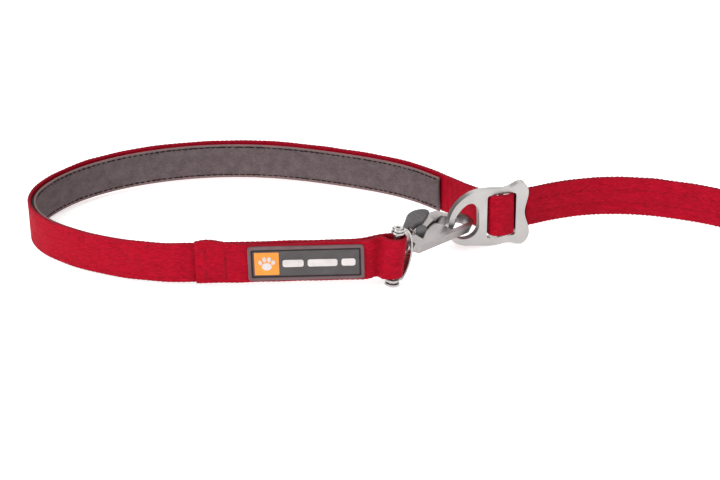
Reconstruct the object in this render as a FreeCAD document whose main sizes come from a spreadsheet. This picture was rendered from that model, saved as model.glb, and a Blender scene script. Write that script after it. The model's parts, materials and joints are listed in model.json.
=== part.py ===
import FreeCAD, Part
import Sketcher
import os
from math import acos, atan2, cos, degrees, hypot, pi, radians, sin, tan

# Training leash: a webbing handle loop closed by a swivel clip that hooks into a slider
# ring, and a lead that runs on through the slider to a second clip.
# Millimetres. The floor is z = 0, X runs along the handle and Y away from its front.

V = FreeCAD.Vector
os.makedirs("parts", exist_ok=True)
doc = FreeCAD.newDocument("training_leash")
sheet = doc.addObject("Spreadsheet::Sheet", "Sizes")
doc.Sizes.Label = "Sizes"

SIZES = {
    # webbing and the padded handle
    "webbing_width": 20.0, "webbing_thick": 1.6, "handle_rise": 1.55, "handle_floor": 0.1,
    "lining_width": 17.4, "lining_thick": 1.0, "foam_thick": 1.2, "foam_width": 16.0,
    "lining_start": 62.0, "lining_end": 428.0, "foam_margin": 4.0, "foldback_length": 77.0,
    "label_start": -11.0, "label_length": 53.0, "label_height": 17.0, "label_thick": 1.1,
    "label_round": 1.5, "emblem_side": 11.0, "emblem_thick": 0.5, "emblem_inset": 3.0,
    # slider ring
    "ring_height": 32.0, "ring_thick": 3.4, "slot_width": 14.6,
    "slot_height": 22.0, "bar_radius": 1.3, "ring_yaw": 18.0, "ring_floor": 0.3,
    # clip: pin, bow and rivet
    "pin_radius": 1.9, "pin_length": 28.8, "pin_flange": 3.4, "flange_thick": 1.0,
    "screw_radius": 2.7, "screw_thick": 1.4, "socket_across": 1.9, "eye_gap": 0.3,
    "near_lean": 5.6, "near_yaw": 52.0, "near_roll": 15.0,
    "far_lean": 7.0, "far_yaw": 10.0, "far_roll": 0.0,
    "bow_reach": 10.6, "bow_flat": 4.9, "rivet_rise": 2.3, "rivet_droop": 2.1, "bow_thick": 1.4,
    "bow_width": 5.0, "bow_clear": 0.06,
    "eye_radius": 3.1, "rivet_radius": 1.5, "rivet_head": 2.1, "rivet_head_thick": 0.9, "rivet_gap": 0.75,
    "rivet_grip": 3.6, "base_gap": 0.35,
    # clip: hook and gate
    "hook_height": 4.8, "web_height": 1.4, "gate_height": 5.0,
    "gate_slot": 3.4, "gate_pin_radius": 0.9, "gate_pin_fit": 0.05, "pad_height": 7.0,
    "spring_outer": 1.6, "spring_inner": 1.15, "spring_gap": 0.05,
    # lead
    "lead_floor": 0.2, "coil_floor": 0.1, "coil_outer": 101.0, "coil_inner": 84.0, "lead_rise": 1.63,
    "end_rise": 3.2, "end_fold": 30.0,
}
for row, (alias, value) in enumerate(SIZES.items(), start=1):
    sheet.set("A%d" % row, alias)
    sheet.set("B%d" % row, str(value))
    sheet.setAlias("B%d" % row, alias)
doc.recompute()


def size(alias):
    return float(sheet.get(alias))


BAR = V(106.2, -13.0, 0)                             # foot of the slider's centre bar
COIL = V(345.0, 78.0, 0)                             # middle of the lead's coil
WORLD = FreeCAD.Placement(V(-0.8, -1.4, -0.06), FreeCAD.Rotation())  # centres the handle
NODES = []


# ---------------------------------------------------------------- routes of the webbing

def corner_path(points):
    """Straight runs joined by tangent arcs: each arc's radius is 0.45 of its shorter run
    divided by the tangent of half the turn."""
    pieces = []
    start = points[0]
    for before, corner, after in zip(points, points[1:], points[2:]):
        run_in = hypot(corner[0] - before[0], corner[1] - before[1])
        run_out = hypot(after[0] - corner[0], after[1] - corner[1])
        way_in = ((corner[0] - before[0]) / run_in, (corner[1] - before[1]) / run_in)
        way_out = ((after[0] - corner[0]) / run_out, (after[1] - corner[1]) / run_out)
        side = 1 if way_in[0] * way_out[1] - way_in[1] * way_out[0] > 0 else -1
        turn = acos(way_in[0] * way_out[0] + way_in[1] * way_out[1])
        cut = 0.45 * min(run_in, run_out)
        radius = cut / tan(turn / 2)
        first = (corner[0] - way_in[0] * cut, corner[1] - way_in[1] * cut)
        centre = (first[0] - way_in[1] * radius * side, first[1] + way_in[0] * radius * side)
        pieces.append(("line", start, first))
        pieces.append(("arc", centre, radius, atan2(first[1] - centre[1], first[0] - centre[0]),
                       side * turn))
        start = (corner[0] + way_out[0] * cut, corner[1] + way_out[1] * cut)
    pieces.append(("line", start, points[-1]))
    return pieces


def piece_length(piece):
    if piece[0] == "line":
        return hypot(piece[2][0] - piece[1][0], piece[2][1] - piece[1][1])
    return piece[2] * abs(piece[4])


def path_length(pieces):
    return sum(piece_length(piece) for piece in pieces)


def trimmed(pieces, start, end):
    """The stretch of a path between two distances from its beginning."""
    kept = []
    done = 0.0
    for piece in pieces:
        long = piece_length(piece)
        low = max(start - done, 0.0) / long
        high = min(end - done, long) / long
        if low < high:
            if piece[0] == "line":
                a, b = piece[1], piece[2]
                step = (b[0] - a[0], b[1] - a[1])
                kept.append(("line", (a[0] + step[0] * low, a[1] + step[1] * low),
                             (a[0] + step[0] * high, a[1] + step[1] * high)))
            else:
                kind, centre, radius, angle, turn = piece
                kept.append((kind, centre, radius, angle + turn * low, turn * (high - low)))
        done += long
    return kept


def arc_edge(centre, radius, angle, turn):
    circle = Part.Circle(V(centre[0], centre[1], 0), V(0, 0, 1), radius)
    return Part.ArcOfCircle(circle, min(angle, angle + turn), max(angle, angle + turn))


def line_edge(a, b):
    return Part.LineSegment(V(a[0], a[1], 0), V(b[0], b[1], 0))


def beside(piece, part, offset):
    """A point at a share of a piece's length, offset to the left of its direction."""
    if piece[0] == "line":
        a, b = piece[1], piece[2]
        long = piece_length(piece)
        return (a[0] + (b[0] - a[0]) * part - (b[1] - a[1]) / long * offset,
                a[1] + (b[1] - a[1]) * part + (b[0] - a[0]) / long * offset)
    kind, centre, radius, angle, turn = piece
    r = radius - offset * (1 if turn > 0 else -1)
    return (centre[0] + r * cos(angle + turn * part), centre[1] + r * sin(angle + turn * part))


def side_edges(pieces, offset):
    """The line beside a path, offset to its left."""
    edges = []
    for piece in pieces:
        if piece[0] == "line":
            edges.append(line_edge(beside(piece, 0, offset), beside(piece, 1, offset)))
        else:
            kind, centre, radius, angle, turn = piece
            r = radius - offset * (1 if turn > 0 else -1)
            edges.append(arc_edge(centre, r, angle, turn))
    return edges


def strap_outline(pieces, inner, outer):
    """The closed plan outline of a strap that lies between two offsets of a path."""
    near_end = line_edge(beside(pieces[0], 0, inner), beside(pieces[0], 0, outer))
    far_end = line_edge(beside(pieces[-1], 1, inner), beside(pieces[-1], 1, outer))
    return side_edges(pieces, inner) + side_edges(pieces, outer) + [near_end, far_end]


def polygon(points):
    """Closed outline of straight edges."""
    return [line_edge(a, b) for a, b in zip(points, points[1:] + points[:1])]


# ---------------------------------------------------------------- document helpers

def new_body(node, placement):
    body = doc.addObject("PartDesign::Body", node)
    body.Label = node
    body.Placement = WORLD.multiply(placement)
    NODES.append(body)
    return body


def new_sketch(body, plane, edges, lift=0.0):
    sketch = body.newObject("Sketcher::SketchObject", body.Name + "_sketch")
    origin = [part for part in body.Origin.OriginFeatures if part.Role == plane][0]
    sketch.AttachmentSupport = [(origin, "")]
    sketch.MapMode = "FlatFace"
    sketch.AttachmentOffset = FreeCAD.Placement(V(0, 0, lift), FreeCAD.Rotation())
    sketch.addGeometry(edges, False)
    return sketch


def circle_edge(x, y, radius):
    return Part.Circle(V(x, y, 0), V(0, 0, 1), radius)


def add_circle(sketch, alias, x=0.0, y=0.0):
    """A circle whose radius stays bound to a cell of the sheet."""
    index = sketch.addGeometry(circle_edge(x, y, size(alias)), False)
    name = sketch.addConstraint(Sketcher.Constraint("Radius", index, size(alias)))
    sketch.setExpression("Constraints[%d]" % name, "Sizes." + alias)
    return index


def pad(body, sketch, length, both_ways=False, direction=None):
    feature = body.newObject("PartDesign::Pad", body.Name + "_raised")
    feature.Profile = sketch
    if direction:
        feature.UseCustomVector = True
        feature.Direction = direction
        feature.AlongSketchNormal = True
    feature.Midplane = both_ways
    feature.setExpression("Length", length)
    sketch.Visibility = False
    return feature


def pocket(body, sketch, length=None, both_ways=False, reverse=False):
    feature = body.newObject("PartDesign::Pocket", body.Name + "_pocket")
    feature.Profile = sketch
    feature.Midplane = both_ways
    feature.Reversed = reverse
    if length is None:
        feature.Type = 1
    else:
        feature.setExpression("Length", length)
    sketch.Visibility = False
    return feature


def lathe(body, plane_points):
    """A turned piece: an outline of (radius, height) points spun about the body's Z."""
    sketch = new_sketch(body, "XZ_Plane", polygon(plane_points))
    feature = body.newObject("PartDesign::Revolution", body.Name + "_turned")
    feature.Profile = sketch
    feature.ReferenceAxis = (sketch, ["V_Axis"])
    feature.Angle = 360.0
    sketch.Visibility = False
    return feature


# ---------------------------------------------------------------- handle

HANDLE_ROUTE = [(42, -57.1), (-52, -57.1), (-86, -44), (-113, -21), (-119.5, 6), (-106, 33),
                (-80, 53), (-45, 63.5), (-8, 62.5), (28, 50), (62, 33), (82, 12), (99.3, -11.0),
                (101.2, -17.0), (107.6, -17.4), (112.6, -13.2), (111.0, -8.3), (121.3, -4.0)]
HANDLE_PATH = corner_path(HANDLE_ROUTE)
WEB = size("webbing_thick")
PIN_RADIUS = size("pin_radius")
STRAP_GAP = 0.8                                      # pin to the webbing rolled round it
EYE_REACH = 16.0                                     # pin to the end of the doubled strap
EYE_PIN = (EYE_REACH, PIN_RADIUS + STRAP_GAP - WEB)  # pin's place from an eye's origin
EYE_OVERLAP = 2.0                                    # eye's legs lie over the strap's end
NEAR_EYE = (HANDLE_ROUTE[0][0] - EYE_OVERLAP, HANDLE_ROUTE[0][1])


def handle_place():
    """The handle stands on the floor at its left end and rises towards the slider."""
    left = -118.0
    turn = FreeCAD.Rotation(V(0, 1, 0), -size("handle_rise"))
    return FreeCAD.Placement(V(0, 0, size("handle_floor")), turn, V(left, 0, 0))


def spun(point, origin, angle):
    """A point of an eye's own frame, placed at a strap's end and turned to its heading."""
    return (origin[0] + point[0] * cos(angle) - point[1] * sin(angle),
            origin[1] + point[0] * sin(angle) + point[1] * cos(angle))


def eye_outline(origin, angle):
    """Webbing rolled round a pin and laid back on itself, in plan: outer and inner lines.
    The origin is the back face of the strap's end. The front leg runs straight; the back
    leg slants in to lie on it."""
    inner = PIN_RADIUS + STRAP_GAP
    outer = inner + WEB
    back = 2 * WEB - outer
    pin = spun(EYE_PIN, origin, angle)
    slope = atan2(back, -EYE_REACH) % (2 * pi) - acos(outer / hypot(EYE_REACH, back))
    fall = tan(slope - pi / 2)
    tip_x = inner * cos(slope) - (inner * sin(slope) + inner) / fall

    def at(x, y):
        return spun((EYE_PIN[0] + x, EYE_PIN[1] + y), origin, angle)

    edges = [line_edge(at(-EYE_REACH, -outer), at(0, -outer)),
             arc_edge(pin, outer, angle - pi / 2, slope + pi / 2),
             line_edge(at(outer * cos(slope), outer * sin(slope)), at(-EYE_REACH, back)),
             line_edge(at(-EYE_REACH, back), at(-EYE_REACH, -outer))]
    hole = [line_edge(at(tip_x, -inner), at(0, -inner)),
            arc_edge(pin, inner, angle - pi / 2, slope + pi / 2),
            line_edge(at(inner * cos(slope), inner * sin(slope)), at(tip_x, -inner))]
    return edges + hole


def add_eye(body, origin, angle, axis):
    """Adds the rolled eye to a strap's end. The roll leans along the pin's axis."""
    way = body.Placement.Rotation.inverted().multVec(axis)
    way = V(way.x / way.z, way.y / way.z, 1)
    half = size("webbing_width") / 2
    foot = (origin[0] - way.x * half, origin[1] - way.y * half)
    pad(body, new_sketch(body, "XY_Plane", eye_outline(foot, angle)), "Sizes.webbing_width",
        direction=way)


def eye_pin_middle(place, origin, angle):
    """Middle of the pin in an eye, in the leash's own frame."""
    x, y = spun(EYE_PIN, origin, angle)
    return place.multVec(V(x, y, size("webbing_width") / 2))


def handle_webbing():
    body = new_body("handle_webbing", handle_place())
    pad(body, new_sketch(body, "XY_Plane", strap_outline(HANDLE_PATH, 0, WEB)),
        "Sizes.webbing_width")
    fold = trimmed(HANDLE_PATH, 0, size("foldback_length"))
    pad(body, new_sketch(body, "XY_Plane", strap_outline(fold, WEB, 2 * WEB)),
        "Sizes.webbing_width")
    add_eye(body, NEAR_EYE, 0, near_pin_frame().Rotation.multVec(V(0, 0, 1)))
    return body


def inner_layer(node, start, end, near_face, far_face, width):
    """A strip inside the loop, between two distances from the webbing's inner face."""
    body = new_body(node, handle_place())
    strip = trimmed(HANDLE_PATH, start, end)
    sketch = new_sketch(body, "XY_Plane", strap_outline(strip, -near_face, -far_face),
                        lift=(size("webbing_width") - size(width)) / 2)
    pad(body, sketch, "Sizes." + width)
    return body


def rounded_box(long, tall, radius):
    """Outline of a rectangle about (0, 0) with rounded corners."""
    x, y = long / 2, tall / 2
    edges = []
    for turn, (cx, cy) in enumerate([(x, y), (-x, y), (-x, -y), (x, -y)]):
        mid = (cx - radius * (1 if cx > 0 else -1), cy - radius * (1 if cy > 0 else -1))
        edges.append(arc_edge(mid, radius, turn * pi / 2, pi / 2))
    edges.append(line_edge((x - radius, y), (-x + radius, y)))
    edges.append(line_edge((-x, y - radius), (-x, -y + radius)))
    edges.append(line_edge((-x + radius, -y), (x - radius, -y)))
    edges.append(line_edge((x, -y + radius), (x, y - radius)))
    return edges


def label_pieces():
    """A rubber label on the fold-back's front face, with a raised plain emblem on it."""
    face_y = HANDLE_ROUTE[0][1] - 2 * WEB
    middle = size("label_start") + size("label_length") / 2
    up = size("webbing_width") / 2
    place = handle_place().multiply(FreeCAD.Placement(V(middle, face_y, up),
                                                      FreeCAD.Rotation()))
    label = new_body("label_patch", place)
    outline = rounded_box(size("label_length"), size("label_height"), size("label_round"))
    pad(label, new_sketch(label, "XZ_Plane", outline), "Sizes.label_thick")
    side = size("emblem_side")
    offset = (side - size("label_length")) / 2 + size("emblem_inset")
    emblem_place = place.multiply(FreeCAD.Placement(V(offset, -size("label_thick"), 0),
                                                    FreeCAD.Rotation()))
    emblem = new_body("label_emblem", emblem_place)
    square = rounded_box(side, side, size("label_round"))
    pad(emblem, new_sketch(emblem, "XZ_Plane", square), "Sizes.emblem_thick")


# ---------------------------------------------------------------- slider ring

def slider_ring():
    """A hooking eye and a webbing slot with a centre bar, cut from one flat plate.
    Its origin is on the centre bar, at mid height."""
    lift = size("ring_height") / 2 + size("ring_floor")
    place = FreeCAD.Placement(V(BAR.x, BAR.y, lift), FreeCAD.Rotation(V(0, 0, 1), size("ring_yaw")))
    body = new_body("slider_ring", place)
    half = size("ring_height") / 2
    outer = smooth_outline([(-26.5, 0), (-22.8, 8.2), (-13.0, 13.9), (-2.0, half - 2.4),
                            (4.5, half - 2.0), (10.6, half - 0.2), (12.9, half - 2.8), (11.8, 0),
                            (13.9, 3.4 - half), (11.0, 0.2 - half), (4.5, 1.4 - half),
                            (-2.0, 1.0 - half), (-13.0, -13.9), (-22.8, -11.3), (-26.6, -6.3)])
    pad(body, new_sketch(body, "XZ_Plane", outer), "Sizes.ring_thick", both_ways=True)
    slot = rounded_box(size("slot_width"), size("slot_height"), 1.5)
    pocket(body, new_sketch(body, "XZ_Plane", slot), both_ways=True)
    eye = smooth_outline([(-23.7, 0), (-20.6, 5.4), (-15.0, 8.2), (-12.1, 5.6), (-11.3, 0),
                          (-11.7, -5.8), (-14.6, -8.9), (-20.6, -9.3), (-24.0, -6.4)])
    pocket(body, new_sketch(body, "XZ_Plane", eye), both_ways=True)
    bar = new_sketch(body, "XY_Plane", [], lift=-size("slot_height") / 2 - 1)
    add_circle(bar, "bar_radius")
    pad(body, bar, "Sizes.slot_height + 2")
    return body


def smooth_outline(points):
    """A closed smooth curve through a few points."""
    curve = Part.BSplineCurve()
    curve.interpolate([V(x, y, 0) for x, y in points], PeriodicFlag=True)
    return [curve]


# ---------------------------------------------------------------- swivel clip

BIGHT = (52.6, 0.3)
BIGHT_RADIUS = 5.2
MOUTH_RADIUS = 3.2
NOSE_ANGLE = radians(98)
GATE_PIVOT = (20.5, 4.6)


def leaning_frame(middle, heading, lean):
    """A pin's own frame: Z along the pin, X towards the side it leans to."""
    turn = FreeCAD.Rotation(V(0, 0, 1), heading)
    return FreeCAD.Placement(middle, turn.multiply(FreeCAD.Rotation(V(0, 1, 0), lean)))


def near_pin_frame():
    return leaning_frame(eye_pin_middle(handle_place(), NEAR_EYE, 0), 0, size("near_lean"))


def far_pin_frame():
    middle = eye_pin_middle(end_place(), FAR_EYE, END_HEADING)
    return leaning_frame(middle, degrees(END_HEADING), size("far_lean"))


def make_clip(name, pin_frame, yaw, roll):
    """One swivel clip. The pin and its screw lie on the pin frame; the bow turns about the
    pin; the hook turns about the rivet; the gate turns about its own pin on the hook."""
    bow_frame = pin_frame.multiply(FreeCAD.Placement(V(), FreeCAD.Rotation(V(0, 0, 1), yaw)))
    swivel_frame = bow_frame.multiply(swivel_on_bow())
    hook_frame = swivel_frame.multiply(FreeCAD.Placement(V(), FreeCAD.Rotation(V(1, 0, 0), roll)))
    clip_pin(name, pin_frame)
    clip_bow(name, bow_frame)
    clip_rivet(name, swivel_frame)
    clip_hook(name, hook_frame)
    clip_gate(name, hook_frame)


def swivel_on_bow():
    """The swivel's frame on the bow: a little above its middle and drooping at the nose."""
    apex = V(size("bow_reach"), 0, 0)
    droop = FreeCAD.Rotation(V(0, 1, 0), size("rivet_droop"))
    return FreeCAD.Placement(V(0, 0, size("rivet_rise")), droop, apex)


def clip_pin(name, place):
    """Cross pin: a shaft with a flange below; a socket screw closes its top."""
    half = size("pin_length") / 2
    shaft = size("pin_radius")
    flange = size("pin_flange")
    pin = new_body(name + "_pin", place)
    lathe(pin, [(0, -half), (flange, -half), (flange, size("flange_thick") - half),
                (shaft, size("flange_thick") - half), (shaft, half - size("screw_thick")),
                (0, half - size("screw_thick"))])
    screw = new_body(name + "_pin_screw", place)
    lathe(screw, [(0, half - size("screw_thick")), (size("screw_radius"), half - size("screw_thick")),
                  (size("screw_radius"), half - 0.4), (size("screw_radius") - 0.4, half), (0, half)])
    across = size("socket_across") / cos(pi / 6) / 2
    socket = [(across * cos(pi * i / 3), across * sin(pi * i / 3)) for i in range(6)]
    pocket(screw, new_sketch(screw, "XY_Plane", polygon(socket), lift=half), "0.9")


def clip_bow(name, place):
    """A C-shaped band with an eye at each end for the pin and a hole for the rivet."""
    top = size("pin_length") / 2 - size("screw_thick") - size("eye_gap")
    thick = size("bow_thick")
    reach = size("bow_reach")
    inside = reach - thick
    body = new_body(name + "_bow", place)
    flat = size("bow_flat")
    band = bulge(flat, top, reach) + bulge(flat, top - thick, inside)
    for side in (1, -1):
        band.append(line_edge((0, side * top), (flat, side * top)))
        band.append(line_edge((0, side * (top - thick)), (flat, side * (top - thick))))
        band.append(line_edge((0, side * top), (0, side * (top - thick))))
    sketch = new_sketch(body, "XZ_Plane", band)
    pad(body, sketch, "Sizes.bow_width", both_ways=True)
    for low in (top - thick, -top):
        ring = new_sketch(body, "XY_Plane", [], lift=low)
        add_circle(ring, "eye_radius")
        pad(body, ring, "Sizes.bow_thick")
    hole = new_sketch(body, "XY_Plane", [circle_edge(0, 0, size("pin_radius") + size("bow_clear"))])
    pocket(body, hole, both_ways=True)
    drill = new_sketch(body, "YZ_Plane", [circle_edge(0, 0, size("rivet_radius") + size("bow_clear"))])
    drill.AttachmentOffset = swivel_in_yz()
    pocket(body, drill, both_ways=True)
    return body


def swivel_in_yz():
    """The swivel's axis as an attachment offset on a YZ plane, whose normal is X."""
    plane = FreeCAD.Placement(V(), FreeCAD.Rotation(V(1, 1, 1), 120))
    return plane.inverse().multiply(swivel_on_bow()).multiply(plane)


def bulge(middle, height, reach):
    """The outward arc of the bow's side view, through its ends and its apex."""
    rise = reach - middle
    radius = (height * height + rise * rise) / (2 * rise)
    centre = reach - radius
    half_turn = atan2(height, middle - centre)
    return [arc_edge((centre, 0), radius, -half_turn, 2 * half_turn)]


def clip_rivet(name, place):
    """The swivel rivet: its head inside the bow, its shank in the hook's base."""
    face = size("bow_reach") - size("bow_thick")
    turned = place.multiply(FreeCAD.Placement(V(face, 0, 0), FreeCAD.Rotation(V(0, 1, 0), 90)))
    body = new_body(name + "_swivel_rivet", turned)
    head = size("rivet_head")
    seat = -size("rivet_gap")
    top = seat - size("rivet_head_thick")
    shank = size("rivet_radius")
    end = size("bow_thick") + size("rivet_grip")
    lathe(body, [(0, top), (head - 0.3, top), (head, top + 0.3), (head, seat), (shank, seat),
                 (shank, end), (0, end)])
    return body


def clip_hook(name, place):
    """Base block, spine, thin web and hooked nose; a bore in the base takes the rivet."""
    body = new_body(name + "_hook", place)
    base = size("bow_reach") + size("base_gap")
    bight = BIGHT
    back = bight[1] - BIGHT_RADIUS
    rim = [(base, 2.6), (base, back + 2.5), (base + 2.5, back), (bight[0], back)]
    outer_nose = (bight[0] + BIGHT_RADIUS * cos(NOSE_ANGLE), bight[1] + BIGHT_RADIUS * sin(NOSE_ANGLE))
    inner_nose = (bight[0] + MOUTH_RADIUS * cos(NOSE_ANGLE), bight[1] + MOUTH_RADIUS * sin(NOSE_ANGLE))
    inner_low = (bight[0], bight[1] - MOUTH_RADIUS)
    edges = [line_edge(rim[0], rim[1]), line_edge(rim[1], rim[2]), line_edge(rim[2], rim[3]),
             arc_edge(bight, BIGHT_RADIUS, -pi / 2, NOSE_ANGLE + pi / 2),
             line_edge(outer_nose, inner_nose),
             arc_edge(bight, MOUTH_RADIUS, -pi / 2, NOSE_ANGLE + pi / 2),
             line_edge(inner_low, (18.0, inner_low[1])),
             line_edge((18.0, inner_low[1]), (17.0, 2.6)), line_edge((17.0, 2.6), rim[0])]
    pad(body, new_sketch(body, "XY_Plane", edges), "Sizes.hook_height", both_ways=True)
    web = polygon([(16.0, back + 1.0), (41.8, back + 1.0), (41.0, 2.5), (37.0, 6.4), (24.0, 6.4),
                   (19.0, 7.0), (16.0, 2.0)])
    pad(body, new_sketch(body, "XY_Plane", web), "Sizes.web_height", both_ways=True)
    bore = size("gate_pin_radius") + size("gate_pin_fit")
    hole = new_sketch(body, "XY_Plane", [circle_edge(GATE_PIVOT[0], GATE_PIVOT[1], bore)])
    pocket(body, hole, both_ways=True)
    drill = new_sketch(body, "YZ_Plane", [circle_edge(0, 0, size("rivet_radius"))], lift=base)
    pocket(body, drill, "Sizes.rivet_grip - Sizes.base_gap", reverse=True)
    return body


def clip_gate(name, place):
    """A channel-shaped gate astride the web, its pad, its pin and its spring."""
    x, y = GATE_PIVOT
    gate = new_body(name + "_gate", place)
    outline = [(x - 2.0, y - 1.6), (x + 3.0, y - 2.0), (36.5, 6.2), (43.6, 6.6), (49.4, 1.4),
               (51.6, 3.3), (44.0, 11.0), (36.0, 11.6), (24.0, 10.2), (x - 2.2, y + 2.4)]
    pad(gate, new_sketch(gate, "XY_Plane", polygon(outline)), "Sizes.gate_height", both_ways=True)
    channel = [(x - 4.0, y - 4.0), (42.8, y - 4.0), (42.8, 8.4), (24.0, 8.4), (x - 4.0, y + 3.4)]
    pocket(gate, new_sketch(gate, "XY_Plane", polygon(channel)), "Sizes.gate_slot", both_ways=True)
    bore = new_sketch(gate, "XY_Plane", [circle_edge(x, y, size("gate_pin_radius"))])
    pocket(gate, bore, both_ways=True)
    gate_pad = new_body(name + "_gate_pad", place)
    grip = [(21.5, 8.8), (24.0, 10.2), (36.0, 11.6), (37.6, 11.4), (36.0, 13.4), (30.0, 14.2), (23.0, 12.4)]
    pad(gate_pad, new_sketch(gate_pad, "XY_Plane", polygon(grip)), "Sizes.pad_height", both_ways=True)
    pin = new_body(name + "_gate_pin", place)
    sketch = new_sketch(pin, "XY_Plane", [])
    add_circle(sketch, "gate_pin_radius", x, y)
    pad(pin, sketch, "Sizes.gate_height + 0.3", both_ways=True)
    gate_spring(name, place)


def gate_spring(name, place):
    """The wound spring round the gate pin, above the web, as the sleeve that its close turns fill."""
    spring = new_body(name + "_gate_spring", place)
    sketch = new_sketch(spring, "XY_Plane", [], lift=size("web_height") / 2 + size("spring_gap"))
    add_circle(sketch, "spring_outer", GATE_PIVOT[0], GATE_PIVOT[1])
    add_circle(sketch, "spring_inner", GATE_PIVOT[0], GATE_PIVOT[1])
    pad(spring, sketch, "(Sizes.gate_slot - Sizes.web_height) / 2 - 2 * Sizes.spring_gap")


# ---------------------------------------------------------------- lead

LEAD_ROUTE = [(121.3, -4.0), (142, 7.6), (170, 12.4), (199, 6.0), (228, -9), (264, -22), (300, -23.2),
              (345, -22.2)]
END_ROUTE = [(394.4, 10.0), (410, 22), (415, 47), (404, 74), (383, 88)]


END_HEADING = atan2(END_ROUTE[-1][1] - END_ROUTE[-2][1], END_ROUTE[-1][0] - END_ROUTE[-2][0])
FAR_EYE = spun((-EYE_OVERLAP, WEB / 2), END_ROUTE[-1], END_HEADING)


def rising_place(foot, tip, rise):
    """A strap that stands on the floor at its foot and rises towards its tip."""
    start = V(foot[0], foot[1], 0)
    chord = V(tip[0], tip[1], 0) - start
    turn = FreeCAD.Rotation(chord.cross(V(0, 0, 1)), rise)
    return FreeCAD.Placement(V(0, 0, size("lead_floor")), turn, start)


def end_place():
    return rising_place(END_ROUTE[0], END_ROUTE[-1], size("end_rise"))


def lead_strap(node, route, place):
    """A plain flat strap on edge along a route, with its radii and volume printed."""
    path = corner_path(route)
    body = new_body(node, place)
    outline = strap_outline(path, WEB / 2, -WEB / 2)
    pad(body, new_sketch(body, "XY_Plane", outline), "Sizes.webbing_width")
    radii = ", ".join("%.0f" % piece[2] for piece in path if piece[0] == "arc")
    long = path_length(path)
    print("%s: length %.1f, radii %s, section x length %.0f"
          % (node, long, radii, long * WEB * size("webbing_width")))
    return body, path


def lead():
    lead_strap("lead_webbing", LEAD_ROUTE,
               rising_place(LEAD_ROUTE[-1], LEAD_ROUTE[0], size("lead_rise")))
    coil = new_body("lead_coil", FreeCAD.Placement(V(COIL.x, COIL.y, size("coil_floor")),
                                                   FreeCAD.Rotation()))
    sketch = new_sketch(coil, "XY_Plane", [])
    add_circle(sketch, "coil_outer")
    add_circle(sketch, "coil_inner")
    pad(coil, sketch, "Sizes.webbing_width")
    end, path = lead_strap("lead_end_webbing", END_ROUTE, end_place())
    long = path_length(path)
    fold = trimmed(path, long - size("end_fold"), long)
    pad(end, new_sketch(end, "XY_Plane", strap_outline(fold, -WEB / 2, -3 * WEB / 2)),
        "Sizes.webbing_width")
    add_eye(end, FAR_EYE, END_HEADING, far_pin_frame().Rotation.multVec(V(0, 0, 1)))


# ---------------------------------------------------------------- the leash

handle_webbing()
inner_layer("handle_foam", size("lining_start") + size("foam_margin"),
            size("lining_end") - size("foam_margin"), 0, size("foam_thick"), "foam_width")
inner_layer("handle_lining", size("lining_start"), size("lining_end"), size("foam_thick"),
            size("foam_thick") + size("lining_thick"), "lining_width")
label_pieces()
slider_ring()
make_clip("near", near_pin_frame(), size("near_yaw"), size("near_roll"))
lead()
make_clip("far", far_pin_frame(), size("far_yaw"), size("far_roll"))
doc.recompute()

for item in doc.Objects:
    if "Invalid" in item.State or "Error" in item.State:
        raise RuntimeError("%s did not build: %s" % (item.Name, item.State))
for body in NODES:
    if body.Shape.isNull() or not body.Shape.isValid() or not body.Shape.Solids:
        raise RuntimeError(body.Label + " has no valid solid")
    body.Shape.exportStep("parts/" + body.Label + ".step")
    print("%-22s solids %d volume %8.1f" % (body.Label, len(body.Shape.Solids), body.Shape.Volume))
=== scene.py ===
"""The training leash: webbing, padding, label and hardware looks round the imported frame.

Lengths are millimetres in the part's own routes until a placing function turns them into the
row frame. A strap's line is its centre line in plan, with z at the height of its lower edge.
"""
import json
import math
import random

import bmesh
import bpy
import numpy as np
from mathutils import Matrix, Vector, noise


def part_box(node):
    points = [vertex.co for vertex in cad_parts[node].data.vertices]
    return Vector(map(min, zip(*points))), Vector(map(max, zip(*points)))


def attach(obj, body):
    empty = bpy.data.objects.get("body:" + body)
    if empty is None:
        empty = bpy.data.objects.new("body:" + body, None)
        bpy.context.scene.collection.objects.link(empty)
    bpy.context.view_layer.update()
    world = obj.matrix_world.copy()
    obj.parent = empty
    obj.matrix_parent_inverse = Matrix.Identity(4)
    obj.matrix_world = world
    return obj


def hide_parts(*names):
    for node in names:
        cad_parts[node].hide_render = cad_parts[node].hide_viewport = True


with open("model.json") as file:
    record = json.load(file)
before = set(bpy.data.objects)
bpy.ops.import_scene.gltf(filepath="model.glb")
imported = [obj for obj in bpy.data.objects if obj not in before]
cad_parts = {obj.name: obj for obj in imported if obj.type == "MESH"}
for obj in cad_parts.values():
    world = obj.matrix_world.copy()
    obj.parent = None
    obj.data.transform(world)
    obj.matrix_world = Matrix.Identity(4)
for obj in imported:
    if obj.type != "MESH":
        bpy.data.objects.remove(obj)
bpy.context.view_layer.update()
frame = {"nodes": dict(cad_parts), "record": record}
nodes = frame["nodes"]
scene = bpy.context.scene
random.seed(7)

MM = 0.001
WEB = 1.6                                   # webbing thickness
WIDE = 20.0                                 # webbing width
HALF = WIDE / 2
OFFSET = np.array([-0.8, -1.4, -0.06])      # from the routes' own numbers to the row frame
HANDLE_RISE = math.radians(1.55)            # the handle climbs from its closed end
HANDLE_FOOT = -118.0                        # x of the closed end
HANDLE_FLOOR = 0.1                          # height of its lower edge there
PIN_LEAN = math.tan(math.radians(7.15))     # near pin against the handle's own up
LINE_STEP = 0.5                             # between the points of a line
STRAP_STEP = 0.9                            # between the rings of a handle strap's mesh
LOOP_PITCH = 2.4                            # between the weft loops on a selvedge


# ---------------------------------------------------------------- lines

def run_of(line):
    """Distance along the line at each of its points."""
    return np.r_[0, np.cumsum(np.linalg.norm(np.diff(line, axis=0), axis=1))]


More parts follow.
